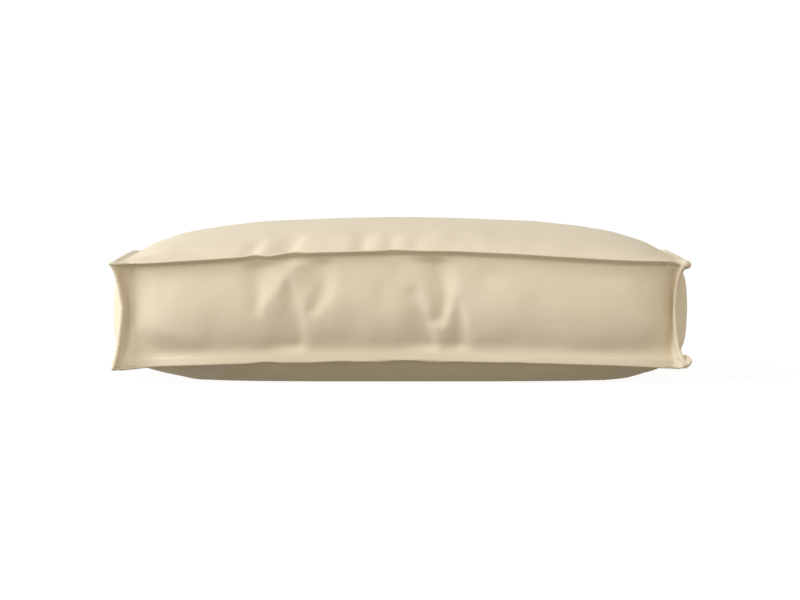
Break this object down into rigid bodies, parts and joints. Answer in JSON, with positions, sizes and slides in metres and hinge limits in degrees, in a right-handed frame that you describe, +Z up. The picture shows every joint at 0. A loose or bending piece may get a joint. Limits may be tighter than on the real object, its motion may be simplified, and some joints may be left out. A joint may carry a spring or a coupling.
{
  "type": "chair cushion",
  "caption": "Square boxed chair cushion: a filled soft body with a crowned top, swelling sides and a narrow flat flange standing out along every seam.",
  "frame": {"origin": "on the floor under the middle of the cushion, which is the bottom centre of its box", "axes": "+Z up through the cushion's thickness, -Y out of its front, +X to the right seen from the front"},
  "size_m": [0.6152, 0.6418, 0.17],
  "materials": {
    "cover_cloth": "plain smooth beige cloth",
    "flange_cloth": "the same beige cloth, doubled and pressed flat"
  },
  "bodies": {
    "root": {"cushion_body": "cover_cloth", "top_flange": "flange_cloth", "bottom_flange": "flange_cloth", "corner_flange_front_right": "flange_cloth", "corner_flange_right_back": "flange_cloth", "corner_flange_back_left": "flange_cloth", "corner_flange_left_front": "flange_cloth"}
  },
  "joints": []
}
